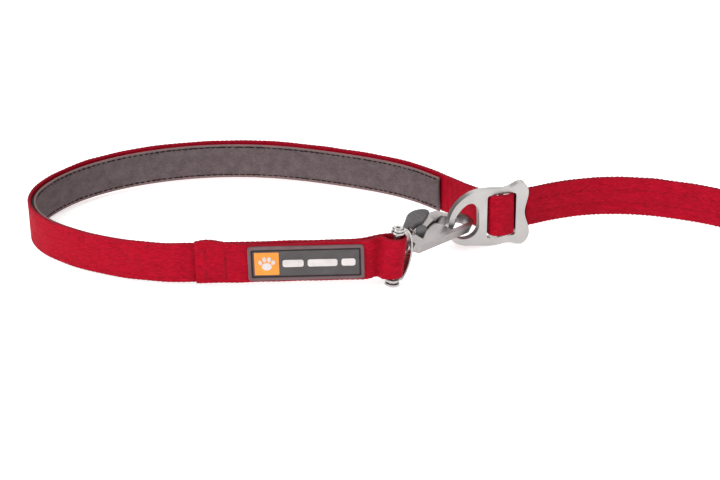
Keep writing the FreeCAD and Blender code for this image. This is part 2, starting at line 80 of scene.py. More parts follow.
def even(line, step):
    """The same line with evenly spaced points."""
    run = run_of(line)
    count = max(2, int(round(run[-1] / step)) + 1)
    at = np.linspace(0, run[-1], count)
    return np.stack([np.interp(at, run, line[:, i]) for i in range(3)], axis=1)


def nurbs_line(points, step=LINE_STEP):
    """Evenly spaced points of the smooth line that has these control points."""
    data = bpy.data.curves.new("line", "CURVE")
    data.dimensions = "3D"
    spline = data.splines.new("NURBS")
    spline.points.add(len(points) - 1)
    for knot, p in zip(spline.points, points):
        knot.co = (*p, 1.0)
    spline.order_u = 3
    spline.use_endpoint_u = True
    spline.resolution_u = 24
    curve = bpy.data.objects.new("line", data)
    mesh = bpy.data.meshes.new_from_object(curve)
    line = np.array([v.co[:] for v in mesh.vertices])
    bpy.data.objects.remove(curve)
    bpy.data.meshes.remove(mesh)
    bpy.data.curves.remove(data)
    return even(line, step)


def sides(line):
    """Level direction to the left of the line at each point."""
    along = np.gradient(line[:, :2], axis=0)
    along /= np.linalg.norm(along, axis=1)[:, None]
    return np.stack([-along[:, 1], along[:, 0]], axis=1)


def shifted(line, offset):
    """The line moved to its left by the offset."""
    moved = line.copy()
    moved[:, :2] += sides(line) * offset
    return moved


def cut(line, start, end):
    """The stretch of the line between two distances along it."""
    run = run_of(line)
    return line[(run >= start) & (run <= end)]


def handle_placed(points):
    """The handle's own frame to the row frame: it rises from its closed end."""
    p = np.array(points, float)
    c, s = math.cos(HANDLE_RISE), math.sin(HANDLE_RISE)
    x, z = p[:, 0] - HANDLE_FOOT, p[:, 2]
    placed = [HANDLE_FOOT + x * c - z * s, p[:, 1], HANDLE_FLOOR + x * s + z * c]
    return np.stack(placed, axis=1) + OFFSET


def lead_placed(points):
    return np.array(points, float) + OFFSET


def beside(point, side, offset, slope, height):
    """Plan place that far to the side of a strap line, on a strap that leans by the slope."""
    up = height - HALF
    return (point[0] + side[0] * offset + slope[0] * up,
            point[1] + side[1] * offset + slope[1] * up)


# ---------------------------------------------------------------- pieces

def add_piece(name, verts, faces, mat, uvs=None, wear_and_rim_highlight=None, smooth=True):
    """verts in millimetres in the row frame; uvs per vertex, in millimetres of cloth."""
    mesh = bpy.data.meshes.new(name)
    mesh.from_pydata([tuple(v) for v in np.asarray(verts) * MM], [], faces)
    mesh.update()
    if uvs is not None:
        layer = mesh.uv_layers.new(name="UVMap")
        corner = np.empty(len(mesh.loops), dtype=np.int32)
        mesh.loops.foreach_get("vertex_index", corner)
        layer.data.foreach_set("uv", np.asarray(uvs, dtype=np.float32)[corner].ravel())
    if wear_and_rim_highlight is not None:
        mesh.attributes.new("wear_and_rim_highlight", "FLOAT", "POINT").data.foreach_set(
            "value", np.asarray(wear_and_rim_highlight, dtype=np.float32))
    mesh.polygons.foreach_set("use_smooth", [smooth] * len(mesh.polygons))
    mesh.materials.append(mat)
    obj = bpy.data.objects.new(name, mesh)
    scene.collection.objects.link(obj)
    return obj


def strap_profile(wide, thick, across=26, round_steps=4):
    """Ring of (height, side, edge share) round a flat strap with soft edges."""
    half, r = thick / 2, thick / 2
    ring = []
    for i in range(across + 1):
        ring.append((r + (wide - 2 * r) * i / across, half, 0.0))
    for i in range(1, 2 * round_steps):
        a = math.pi / 2 * (1 - i / round_steps)
        ring.append((wide - r + r * math.cos(a), half * math.sin(a), math.cos(a)))
    for i in range(across + 1):
        ring.append((wide - r - (wide - 2 * r) * i / across, -half, 0.0))
    for i in range(1, 2 * round_steps):
        a = math.pi / 2 * (1 - i / round_steps)
        ring.append((r - r * math.cos(a), -half * math.sin(a), math.cos(a)))
    return ring


def strap(name, line, wide, thick, mat, placed, low=0.0, relief=None, lean=None, tone=None,
          edge_sway=None):
    """A flat strap on edge.

    relief pushes a face out, edge_sway lifts a height, lean tilts the strap about its middle,
    tone lightens part of a face with a painted highlight.
    """
    ring = strap_profile(wide, thick)
    run, side = run_of(line), sides(line)
    count = len(ring)
    girth = np.r_[0, np.cumsum([math.dist(a[:2], b[:2]) for a, b in zip(ring, ring[1:])])]
    verts, uvs, wear_and_rim_highlight = [], [], []
    for i, (p, n, s) in enumerate(zip(line, side, run)):
        slope = (0.0, 0.0) if lean is None else lean[i]
        for (h, t, edge), g in zip(ring, girth):
            face = 1 if t > 0 else -1
            puff = relief(s, h, face) * (1 - edge) * face if relief else 0.0
            sway = edge_sway(s, h) if edge_sway else 0.0
            verts.append((*beside(p, n, t + puff, slope, h), p[2] + low + h + sway))
            uvs.append((s, g))
            # Edge wear, or the painted highlight from tone where that is larger.
            wear_and_rim_highlight.append(max(edge, tone(h, t)) if tone else edge)
    faces = []
    for i in range(len(line) - 1):
        here, ahead = i * count, (i + 1) * count
        for j in range(count):
            k = (j + 1) % count
            faces.append((here + j, here + k, ahead + k, ahead + j))
    for base, flip in ((0, True), ((len(line) - 1) * count, False)):
        ids = [base + j for j in range(count)]
        faces.append(tuple(ids if flip else reversed(ids)))
    obj = add_piece(name, placed(verts), faces, mat, uvs, wear_and_rim_highlight)
    bm = bmesh.new()
    bm.from_mesh(obj.data)
    bmesh.ops.recalc_face_normals(bm, faces=bm.faces)
    bm.to_mesh(obj.data)
    bm.free()
    return obj


STITCH_SHAPE = [(-0.5, 0.0), (-0.42, 0.62), (-0.2, 0.95), (0.2, 0.95), (0.42, 0.62), (0.5, 0.0)]
STITCH_TURNS = 6                    # sides of a thread
STITCH_DIP = 0.9                    # how deep a stitch's ends dive, in thread radii


def capsule(centre, along, out, long, radius, verts, faces):
    """A stitch: a short swollen thread half sunk in the cloth."""
    along, out = Vector(along).normalized(), Vector(out).normalized()
    third = along.cross(out)
    base, turns = len(verts), STITCH_TURNS
    for share, swell in STITCH_SHAPE:
        for j in range(turns):
            a = 2 * math.pi * j / turns
            dip = out * (-radius * STITCH_DIP * (2 * abs(share)) ** 3)
            p = (Vector(centre) + along * (long * share) + dip
                 + (out * math.cos(a) + third * math.sin(a)) * radius * max(swell, 0.05))
            verts.append(p[:])
    last = base + (len(STITCH_SHAPE) - 1) * turns
    for here in range(base, last, turns):
        for j in range(turns):
            k = (j + 1) % turns
            faces.append((here + j, here + k, here + turns + k, here + turns + j))
    faces.append(tuple(base + j for j in reversed(range(turns))))
    faces.append(tuple(last + j for j in range(turns)))


def place_on(run, at):
    """Index of a line's point at a distance along it, never the very first or last."""
    return int(np.searchsorted(run, at).clip(1, len(run) - 2))


def stitch_rows(name, line, rows, pitch, long, radius, mat, placed, start=0, end=None):
    """Rows of stitches: each row is (offset from the line, height, side it faces)."""
    run, side = run_of(line), sides(line)
    end = run[-1] if end is None else end
    upright = (0.0, 0.0)
    verts, faces = [], []
    for offset, height, face in rows:
        s = start + pitch / 2
        while s < end:
            i = place_on(run, s + random.uniform(-0.06, 0.06) * pitch)
            p, n = line[i], side[i]
            tangent = line[i + 1] - line[i - 1]
            tangent = Vector((tangent[0], tangent[1], tangent[2] + random.uniform(-0.02, 0.02)))
            x, y = beside(p, n, offset, upright, height)
            capsule((x, y, p[2] + height + random.uniform(-0.05, 0.05)),
                    tangent, (n[0] * face, n[1] * face, 0), long, radius, verts, faces)
            s += pitch
    return add_piece(name, placed(verts), faces, mat)


def bar_tacks(name, line, tacks, radius, mat, placed, lean=None):
    """Dense zigzag bars across the strap: (distance, offset, face, low, high, wide, count)."""
    run, side = run_of(line), sides(line)
    zigzag = 0.28
    verts, faces = [], []
    for at, offset, face, low, high, wide, count in tacks:
        for k in range(count):
            height = low + (high - low) * k / (count - 1)
            i = place_on(run, at)
            p, n = line[i], side[i]
            slope = (0.0, 0.0) if lean is None else lean[i]
            tangent = Vector(line[i + 1] - line[i - 1]).normalized()
            along = Vector((tangent[0], tangent[1], zigzag if k % 2 else -zigzag))
            jitter = random.uniform(-0.12, 0.12)
            x, y = beside(p, n, offset, slope, height)
            capsule((x + tangent[0] * jitter, y + tangent[1] * jitter, p[2] + height),
                    along, (n[0] * face, n[1] * face, 0), wide, radius, verts, faces)
    return add_piece(name, placed(verts), faces, mat)


# ---------------------------------------------------------------- materials

def material(name, colour, roughness, metallic=0.0, specular=None):
    mat = bpy.data.materials.new(name)
    mat.use_nodes = True
    shader = mat.node_tree.nodes["Principled BSDF"]
    shader.inputs["Base Color"].default_value = (*colour, 1)
    shader.inputs["Roughness"].default_value = roughness
    shader.inputs["Metallic"].default_value = metallic
    if specular is not None:
        shader.inputs["Specular IOR Level"].default_value = specular
    mat.diffuse_color = (*colour, 1)
    return mat, Graph(mat.node_tree, shader)


class Graph:
    """Short hand for building a shader's nodes."""

    def __init__(self, tree, shader):
        self.tree, self.shader = tree, shader

    def put(self, value, socket):
        """Links another node's output to the socket, or sets a plain number or colour."""
        if isinstance(value, bpy.types.NodeSocket):
            self.tree.links.new(value, socket)
        elif socket.type == "RGBA":
            socket.default_value = (*value, 1)
        else:
            socket.default_value = value

    def node(self, kind, **values):
        made = self.tree.nodes.new(kind)
        for key, value in values.items():
            socket = key.replace("_", " ")
            if socket in made.inputs:
                self.put(value, made.inputs[socket])
            else:
                setattr(made, key, value)
        return made

    def math(self, operation, a, b):
        made = self.node("ShaderNodeMath", operation=operation)
        self.put(a, made.inputs[0])
        self.put(b, made.inputs[1])
        return made.outputs[0]

    def mix(self, share, a, b):
        """Colour mix; the mix node's colour sockets are its inputs 6 and 7 and output 2."""
        made = self.node("ShaderNodeMix", data_type="RGBA")
        self.put(share, made.inputs[0])
        self.put(a, made.inputs[6])
        self.put(b, made.inputs[7])
        return made.outputs[2]

    def ramp(self, value, stops):
        made = self.tree.nodes.new("ShaderNodeValToRGB")
        elements = made.color_ramp.elements
        while len(elements) < len(stops):
            elements.new(0.5)
        for element, (at, tone) in zip(elements, stops):
            element.position = at
            element.color = (tone, tone, tone, 1)
        self.put(value, made.inputs[0])
        return made.outputs[0]

    def bump(self, height, strength, distance, under=None):
        made = self.node("ShaderNodeBump", Strength=strength, Distance=distance, Height=height)
        if under is not None:
            self.put(under, made.inputs["Normal"])
        return made.outputs[0]

    def set(self, socket, value):
        self.put(value, self.shader.inputs[socket])


def darker(colour, share):
    return tuple(c * share for c in colour)


def cloth(name, deep, light, gap, edge, fuzz, yarn, weft, roughness, grain, mottle=0.0):
    """Woven cloth on a map in millimetres: staggered yarn floats, streaks, fuzz, worn edges and
    painted rim highlights.
    """
    mat, g = material(name, light, roughness, specular=0.08)
    uv = g.node("ShaderNodeTexCoord").outputs["UV"]
    bricks = g.node("ShaderNodeTexBrick", Vector=uv, Scale=1.0, Mortar_Size=yarn * 0.16,
                    Mortar_Smooth=1.0, Bias=0.0, Brick_Width=weft, Row_Height=yarn,
                    Color1=deep, Color2=light, Mortar=gap)
    stretch = g.node("ShaderNodeMapping", Vector=uv, Scale=(0.16, 1.1, 1.0)).outputs[0]
    streaks = g.node("ShaderNodeTexNoise", Vector=stretch, Scale=1.0, Detail=3.0).outputs["Fac"]
    streak = g.ramp(streaks, [(0.32, 0.0), (0.72, 1.0)])
    tone = g.mix(g.math("MULTIPLY", streak, 0.5), bricks.outputs["Color"], deep)
    slubs = g.node("ShaderNodeTexNoise", Vector=stretch, Scale=2.7, Detail=2.0).outputs["Fac"]
    slub = g.ramp(slubs, [(0.56, 0.0), (0.74, 1.0)])
    tone = g.mix(g.math("MULTIPLY", slub, 0.45), tone, fuzz)
    if mottle:
        clouds = g.node("ShaderNodeTexNoise", Vector=uv, Scale=0.17, Detail=4.0, Roughness=0.65)
        cloud = g.ramp(clouds.outputs["Fac"], [(0.40, 0.0), (0.68, 1.0)])
        tone = g.mix(g.math("MULTIPLY", cloud, mottle), tone, fuzz)
    # The edge colour marks worn edges, and on the lining the painted highlight of its folded
    # rims.
    wear_and_rim_highlight = g.node("ShaderNodeAttribute", attribute_name="wear_and_rim_highlight").outputs["Fac"]
    g.set("Base Color", g.mix(g.math("MULTIPLY", wear_and_rim_highlight, 0.8), tone, edge))
    g.set("Roughness", g.math("ADD", g.math("MULTIPLY", streak, 0.1), roughness - 0.05))
    woven = g.bump(g.math("SUBTRACT", 1.0, bricks.outputs["Fac"]), 0.7, grain)
    g.set("Normal", g.bump(streaks, 0.5, 0.00025, woven))
    return mat


def metal(name, colour, roughness, grain=(1, 1, 1), scale=900.0, depth=0.00001):
    """Finely blasted or brushed metal; grain stretches its texture."""
    mat, g = material(name, colour, roughness, 1.0)
    spread = 0.12
    place = g.node("ShaderNodeTexCoord").outputs["Object"]
    stretch = g.node("ShaderNodeMapping", Vector=place, Scale=grain).outputs[0]
    fine = g.node("ShaderNodeTexNoise", Vector=stretch, Scale=scale, Detail=3.0).outputs["Fac"]
    broad = g.node("ShaderNodeTexNoise", Vector=place, Scale=90.0, Detail=2.0).outputs["Fac"]
    tint = g.mix(g.ramp(broad, [(0.3, 0.0), (0.75, 1.0)]), colour, darker(colour, 0.82))
    g.set("Base Color", g.mix(g.math("MULTIPLY", fine, 0.25), tint, darker(colour, 0.7)))
    g.set("Roughness", g.math("ADD", g.math("MULTIPLY", fine, spread), roughness - spread / 2))
    g.set("Normal", g.bump(fine, 0.5, depth))
    return mat


def rubber(name, colour, roughness=0.6, scale=1400.0, depth=0.00003):
    """Moulded rubber or foam with a fine grain."""
    mat, g = material(name, colour, roughness, specular=0.35)
    place = g.node("ShaderNodeTexCoord").outputs["Object"]
    grain = g.node("ShaderNodeTexNoise", Vector=place, Scale=scale, Detail=2.0).outputs["Fac"]
    broad = g.node("ShaderNodeTexNoise", Vector=place, Scale=160.0, Detail=3.0).outputs["Fac"]
    paler = tuple(min(1, c * 1.25 + 0.004) for c in colour)
    g.set("Base Color", g.mix(g.ramp(broad, [(0.35, 0.0), (0.8, 1.0)]), colour, paler))
    g.set("Roughness", g.math("ADD", g.math("MULTIPLY", grain, 0.2), roughness - 0.1))
    g.set("Normal", g.bump(grain, 0.4, depth))
    return mat


RED = cloth("webbing_red", deep=(0.31, 0.0010, 0.011), light=(0.49, 0.0016, 0.019),
            gap=(0.17, 0.0006, 0.007), edge=(0.22, 0.012, 0.022), fuzz=(0.58, 0.010, 0.036),
            yarn=0.66, weft=1.9, roughness=0.72, grain=0.0002, mottle=0.12)
# Its edge colour is also the painted highlight on the lining's folded rims.
LINING = cloth("lining_cloth", deep=(0.090, 0.067, 0.071), light=(0.134, 0.102, 0.106),
               gap=(0.068, 0.050, 0.053), edge=(0.25, 0.155, 0.15), fuzz=(0.198, 0.152, 0.153),
               yarn=0.35, weft=0.7, roughness=0.85, grain=0.00006, mottle=0.36)
FOAM = rubber("foam_core", (0.03, 0.03, 0.032), 0.9, 900.0, 0.0001)
THREAD_RED = cloth("thread_red", deep=(0.34, 0.006, 0.02), light=(0.52, 0.02, 0.04),
                   gap=(0.2, 0.004, 0.012), edge=(0.4, 0.03, 0.05), fuzz=(0.66, 0.09, 0.11),
                   yarn=0.2, weft=0.5, roughness=0.6, grain=0.00005)
THREAD_PALE = cloth("thread_bright", deep=(0.44, 0.008, 0.028), light=(0.60, 0.025, 0.05),
                    gap=(0.25, 0.004, 0.012), edge=(0.5, 0.04, 0.06), fuzz=(0.75, 0.12, 0.14),
                    yarn=0.2, weft=0.5, roughness=0.6, grain=0.00005)
THREAD_DARK = cloth("thread_dark", deep=(0.020, 0.011, 0.013), light=(0.034, 0.020, 0.023),
                    gap=(0.012, 0.007, 0.008), edge=(0.05, 0.035, 0.038),
                    fuzz=(0.06, 0.04, 0.045), yarn=0.2, weft=0.5, roughness=0.7, grain=0.00005)
LABEL = rubber("label_panel", (0.062, 0.055, 0.056), 0.55)
LABEL_RIM = rubber("label_rim", (0.115, 0.07, 0.075), 0.6)
LABEL_DARK = rubber("label_groove", (0.026, 0.018, 0.02), 0.7)
ORANGE = rubber("emblem_orange", (0.76, 0.25, 0.03), 0.5)
PALE = rubber("emblem_pale", (0.56, 0.52, 0.51), 0.5)
RING = metal("ring_metal", (0.50, 0.485, 0.475), 0.42, scale=1600.0, depth=0.00002)
CLIP = metal("clip_metal", (0.375, 0.35, 0.345), 0.34, (1, 1, 6), 700.0, 0.00001)
STEEL = metal("steel", (0.50, 0.485, 0.475), 0.26, (1, 1, 4), 800.0, 0.000006)
PAD = rubber("pad_rubber", (0.085, 0.08, 0.083), 0.55, 700.0, 0.00006)


# ---------------------------------------------------------------- uneven cloth

def bell(at, middle, width):
    return math.exp(-((at - middle) / width) ** 2)


def ripple(s, h, seed, size):
    return size * noise.noise(Vector((s / 9.0, h / 6.0, seed)))


def selvedge(s, h, drift, spacing, seeds, loops, lift, power):
    """A woven edge's slow drift and weft loops; lift keeps the lower edge off the floor."""
    lower = h < HALF
    out = loops * math.sin(2 * math.pi * s / LOOP_PITCH) + (lift if lower else 0.0)
    out += drift * noise.noise(Vector((s / spacing, 0.0, seeds[0] if lower else seeds[1])))
    return out * (abs(h - HALF) / HALF) ** power


# ---------------------------------------------------------------- handle

# Centre line of the doubled front: free end, front layer, round the pin, back to the handle.
FRONT = [(-35, -59.5), (-22, -59.6), (-8, -59.5), (8, -59.5), (24, -59.5), (35, -59.5),
         (44, -60.0), (48.0, -56.4), (50.2, -57.6), (51.8, -60.5), (59.9, -60.2), (59.6, -52.4),
         (52.4, -52.2), (47.2, -53.8), (42, -57.0), (34, -57.9), (26, -57.9), (20, -57.9)]
# The padded side's face of the webbing, from the doubled front over the slider's bar.
HANDLE = [(42, -57.1), (22, -57.1), (-4, -57.1), (-28, -57.1), (-52, -57.1), (-86, -44),
          (-113, -21), (-119.5, 6), (-106, 33), (-80, 53), (-45, 63.5), (-8, 62.5), (28, 50),
          (62, 33), (82, 12), (99.3, -11.0), (101.2, -17.0), (107.6, -17.4), (113.9, -13.8),
          (111.5, -8.4), (118.5, -5.2)]
EYE_LEANS_FROM, EYE_LEANS_OVER = 40, 9      # x where the sewn eye starts to follow the pin
PAD_FROM, PAD_TO = 62, 428                  # the lining's ends, along HANDLE
PAD_LONG = 364.5                            # its stitched length
FOAM_INSET = 4
HANDLE_SEAMS = (2.6, 17.4)                  # heights of the sewn rows
LINING_SEAMS = (1.6, 16.5)                  # the same rows, from the lining's lower edge
LINING_RIMS = (1.2, 17.0)                   # beyond these heights the rim is folded and painted lighter as a highlight
LINING_WIDE, LINING_THICK, LINING_LOW = 17.9, 1.0, 0.8
LINING_FACE = -2.06                         # its soft face, from HANDLE
FRONT_FACE = -WEB / 2 + 0.02                # the front's outer face, from its middle

inner = nurbs_line([(x, y, 0.0) for x, y in HANDLE])
front = nurbs_line([(x, y, 0.0) for x, y in FRONT])
loop_start = HANDLE[0][0] - FRONT[-1][0]    # FRONT covers HANDLE up to here
whole = np.vstack([front, shifted(cut(inner, loop_start + 0.5, np.inf), WEB / 2)])
whole = even(whole, STRAP_STEP)
whole_run = run_of(whole)
eye_share = np.clip((whole[:, 0] - EYE_LEANS_FROM) / EYE_LEANS_OVER, 0, 1)
eye_share = eye_share * (whole_run < run_of(front)[-1])
near_lean = np.stack([PIN_LEAN * eye_share, np.zeros_like(eye_share)], axis=1)
pad_line = cut(inner, PAD_FROM, PAD_TO)


def handle_relief(s, h, side):
    """Two lengthwise sewn channels, and the soft unevenness of webbing."""
    channel = sum(bell(h, seam, 0.45) for seam in HANDLE_SEAMS)
    return ripple(s, h, side * 3.1, 0.16) - 0.16 * channel


def handle_sway(s, h):
    """Selvedges, the fold-back's free end, the shoulder at the pin and the rise to the slot."""
    high = max(0.0, (h - 12) / 8)
    wander = selvedge(s, h, 0.35, 14.0, (9.9, 4.2), 0.1, 0.3, 4)
    flare = 2.3 * bell(s, 6, 8.0) * high
    slack = -0.7 * bell(s, 38, 16.0) * high
    shoulder = 0.8 * bell(s, 82, 7.0) * high
    at_ring = min(1.0, max(0.0, (s - whole_run[-1] + 45) / 15))
    return wander + flare + slack + shoulder + at_ring * (0.15 + 1.2 * h / 20)


def lining_relief(s, h, side):
    """Padded between the seams, puckered beside them; the hidden face stays flat."""
    if side > 0:
        return 0.0
    channel = sum(bell(h, seam, 0.55) for seam in LINING_SEAMS)
    pucker = sum(bell(h, seam, 1.8) for seam in LINING_SEAMS)
    return (0.12 - 0.5 * channel + pucker * 0.16 * math.sin(2 * math.pi * s / 2.9)
            + ripple(s, h, 8.7, 0.3))


def lining_rim_highlight(h, t):
    """The folded rims outside the stitch rows catch more light."""
    return 0.75 if t < 0 and (h < LINING_RIMS[0] or h > LINING_RIMS[1]) else 0.0


handle_strap = strap("handle_strap", whole, WIDE, WEB, RED, handle_placed,
                     relief=handle_relief, lean=near_lean, edge_sway=handle_sway)
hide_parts("handle_webbing")
lining = strap("handle_lining_cloth", even(shifted(pad_line, -1.7), STRAP_STEP), LINING_WIDE,
               LINING_THICK, LINING, handle_placed, low=LINING_LOW, relief=lining_relief,
               tone=lining_rim_highlight)
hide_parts("handle_lining")
foam_line = shifted(cut(inner, PAD_FROM + FOAM_INSET, PAD_TO - FOAM_INSET), -0.6)
foam = strap("handle_foam_core", even(foam_line, 2.0), 16.0, 1.1, FOAM, handle_placed, low=2.0)
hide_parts("handle_foam")

lining_stitches = stitch_rows(
    "lining_stitches", pad_line, [(LINING_FACE, 2.4, -1), (LINING_FACE, 17.3, -1)],
    pitch=2.9, long=2.75, radius=0.3, mat=THREAD_DARK, placed=handle_placed, start=1.5,
    end=PAD_LONG)
outer_stitches = stitch_rows(
    "handle_outer_stitches", pad_line, [(WEB - 0.1, 2.7, 1), (WEB - 0.1, 17.3, 1)],
    pitch=2.9, long=2.2, radius=0.2, mat=THREAD_RED, placed=handle_placed, start=1.5,
    end=PAD_LONG)
end_tacks = bar_tacks(
    "lining_end_stitches", pad_line,
    [(at, LINING_FACE, -1, 3.4, 16.6, 0.5, 9) for at in (1.3, 364.6)],
    radius=0.2, mat=THREAD_DARK, placed=handle_placed)
front_tacks = bar_tacks(
    "front_bar_tacks", whole,
    [(at, FRONT_FACE, -1, 2.8, 17.2, 2.0, 24) for at in (4.2, 12.8)]
    + [(83.0, FRONT_FACE, -1, 3.0, 17.0, 1.5, 20)],
    radius=0.22, mat=THREAD_PALE, placed=handle_placed, lean=near_lean)
slider_tacks = bar_tacks(
    "slider_bar_tacks", inner,
    [(at, 0.02, -1, 2.6, 17.4, 1.7, 22) for at in (431.5, 435.0, 438.5)],
    radius=0.26, mat=THREAD_PALE, placed=handle_placed)


# ---------------------------------------------------------------- lead

LEAD = [(118.5, -5.2), (122.5, -3.4), (142, 7.6), (170, 12.4), (199, 6.0), (228, -9),
        (264, -22), (300, -23.2)]
COIL_MIDDLE = (345.0, 78.0)
COIL_STEPS = 17
COIL_TURN = math.radians(396)
COIL_FROM = math.radians(-90)
COIL_OUTER, COIL_CLOSES = 100.2, 16.0       # outer reach, and how much it closes in
COIL_FLOOR = 0.1
SPLINE_GAIN = 1.013                         # control points stand this much outside their ring
END = [(410, 22), (415, 47), (404, 74), (390.5, 83.0), (381.5, 89.0)]
LEAD_SLOPE = math.tan(math.radians(1.63))
END_SLOPE = math.tan(math.radians(3.2))
FLOOR = 0.2
# The far eye: (along, across) from its own origin on the strap, round the pin and folded back.
EYE = [(5.5, -1.3), (12.4, 4.6), (19.6, 4.6), (19.6, -2.5), (12.4, -2.5), (4.0, -2.4),
       (-8.0, -2.46), (-16.5, -2.5), (-21.5, -2.0), (-27.0, 0.65)]
EYE_START = (384.22, 86.22)
EYE_HEADING = math.radians(146.3)
EYE_PIN, EYE_HEIGHT, EYE_CLIMB = 16, 4.97, 0.0375
EYE_LONG, FOLD_LONG, LEAN_OVER = 78, 22, 10     # the leaning stretch, from the cut end
FAR_LEAN = (-0.1022, 0.0681)
LEAD_SEAMS = (6.6, 13.4)

route = [(x, y, FLOOR + LEAD_SLOPE * (COIL_MIDDLE[0] - x)) for x, y in LEAD]
for i in range(COIL_STEPS + 1):
    share = i / COIL_STEPS
    angle = COIL_FROM + COIL_TURN * share
    reach = (COIL_OUTER - COIL_CLOSES * share) * SPLINE_GAIN
    route.append((COIL_MIDDLE[0] + reach * math.cos(angle),
                  COIL_MIDDLE[1] + reach * math.sin(angle), COIL_FLOOR))
route += [(x, y, FLOOR + END_SLOPE * max(0.0, y - 10)) for x, y in END]
for u, v in EYE:
    c, s = math.cos(EYE_HEADING), math.sin(EYE_HEADING)
    route.append((EYE_START[0] + u * c - v * s, EYE_START[1] + u * s + v * c,
                  EYE_HEIGHT + EYE_CLIMB * (u - EYE_PIN) - OFFSET[2]))
lead_line = even(nurbs_line(route), 1.0)
lead_run = run_of(lead_line)
lead_long = lead_run[-1]
lean_share = (np.clip((lead_run - (lead_long - EYE_LONG)) / LEAN_OVER, 0, 1)
              * np.clip((lead_long - FOLD_LONG - lead_run) / LEAN_OVER, 0, 1))
lead_lean = np.stack([FAR_LEAN[0] * lean_share, FAR_LEAN[1] * lean_share], axis=1)


def lead_relief(s, h, side):
    """Two sewn rows make three soft lengthwise ridges."""
    channel = sum(bell(h, seam, 0.5) for seam in LEAD_SEAMS)
    puckers = sum(bell(h, seam, 1.5) for seam in LEAD_SEAMS) * math.sin(2 * math.pi * s / 4.6)
    return ripple(s, h, 20 + side * 2.3, 0.2) - 0.2 * channel + 0.12 * puckers


def lead_sway(s, h):
    return selvedge(s, h, 0.25, 12.0, (7.7, 1.2), 0.2, 0.35, 6)


lead_strap = strap("lead_strap", lead_line, WIDE, WEB, RED, lead_placed, relief=lead_relief,
                   lean=lead_lean, edge_sway=lead_sway)
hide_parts("lead_webbing", "lead_coil", "lead_end_webbing")
lead_stitches = stitch_rows(
    "lead_stitches", lead_line, [(-WEB / 2 + 0.12, seam, -1) for seam in LEAD_SEAMS],
    pitch=3.2, long=2.4, radius=0.18, mat=THREAD_RED, placed=lead_placed, start=6,
    end=lead_long - 80)
far_tacks = bar_tacks(
    "far_bar_tacks", lead_line,
    [(lead_long - at, 0.8, 1, 2.8, 17.2, 2.0, 22) for at in (4.0, 11.0)],
    radius=0.16, mat=THREAD_RED, placed=lead_placed)


# ---------------------------------------------------------------- moulded shapes

def rounded(x0, z0, x1, z1, r, steps=5):
    """Outline of a rectangle with rounded corners."""
    corners = [(x1 - r, z0 + r, -90), (x1 - r, z1 - r, 0), (x0 + r, z1 - r, 90),
               (x0 + r, z0 + r, 180)]
    points = []
    for cx, cz, start in corners:
        for i in range(steps + 1):
            a = math.radians(start + 90 * i / steps)
            points.append((cx + r * math.cos(a), cz + r * math.sin(a)))
    return points


def smooth_loop(points, steps=4):
    """A closed outline that is rounded through its corner points."""
    p, out = np.array(points), []
    for i in range(len(p)):
        before, here, after = (p[i - 1] + p[i]) / 2, p[i], (p[i] + p[(i + 1) % len(p)]) / 2
        for k in range(steps):
            f = k / steps
            out.append(tuple((1 - f) ** 2 * before + 2 * f * (1 - f) * here + f * f * after))
    return out


def oval(cx, cz, rx, rz, turn=0.0, steps=20):
    points = []
    for i in range(steps):
        a = 2 * math.pi * i / steps
        x, z = rx * math.cos(a), rz * math.sin(a)
        points.append((cx + x * math.cos(turn) - z * math.sin(turn),
                       cz + x * math.sin(turn) + z * math.cos(turn)))
    return points


def tile(name, outline, back, face, mat, soft=0.12, hole=None, placed=handle_placed):
    """A raised moulded shape: its edge is rounded over, its back is flat."""
    layers = [(0.0, back), (0.0, face + soft), (soft * 0.3, face + soft * 0.3), (soft, face)]
    verts, faces, count = [], [], len(outline)

    def inset(points, amount, sign):
        points = np.array(points)
        around = np.roll(points, -1, axis=0) - np.roll(points, 1, axis=0)
        normal = np.stack([-around[:, 1], around[:, 0]], axis=1)
        normal /= np.linalg.norm(normal, axis=1)[:, None]
        return points + normal * amount * sign

    def wall(points, sign):
        base = len(verts)
        for amount, y in layers:
            for x, z in inset(points, amount, sign):
                verts.append((x, y, z))
        for i in range(len(layers) - 1):
            here, above = base + i * count, base + (i + 1) * count
            for j in range(count):
                k = (j + 1) % count
                ids = (here + j, here + k, above + k, above + j)
                faces.append(ids if sign > 0 else ids[::-1])
        return base, base + (len(layers) - 1) * count

    low, top = wall(outline, 1)
    if hole is None:
        faces.append(tuple(top + j for j in range(count)))
        faces.append(tuple(low + j for j in reversed(range(count))))
    else:
        low2, top2 = wall(hole, -1)
        for j in range(count):
            k = (j + 1) % count
            faces.append((top + j, top + k, top2 + k, top2 + j))
            faces.append((low + k, low + j, low2 + j, low2 + k))
    return add_piece(name, placed(verts), faces, mat, smooth=False)


# ---------------------------------------------------------------- label

X0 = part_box("label_patch")[0][0] / MM - OFFSET[0] + 0.5
X1 = X0 + 53.0
LABEL_LOW, LABEL_HIGH = 1.5, 18.5
FACE = -60.3                                # the webbing's outer face under the label


def label_outline(inset, radius):
    return rounded(X0 + inset, LABEL_LOW + inset, X1 - inset, LABEL_HIGH - inset, radius)


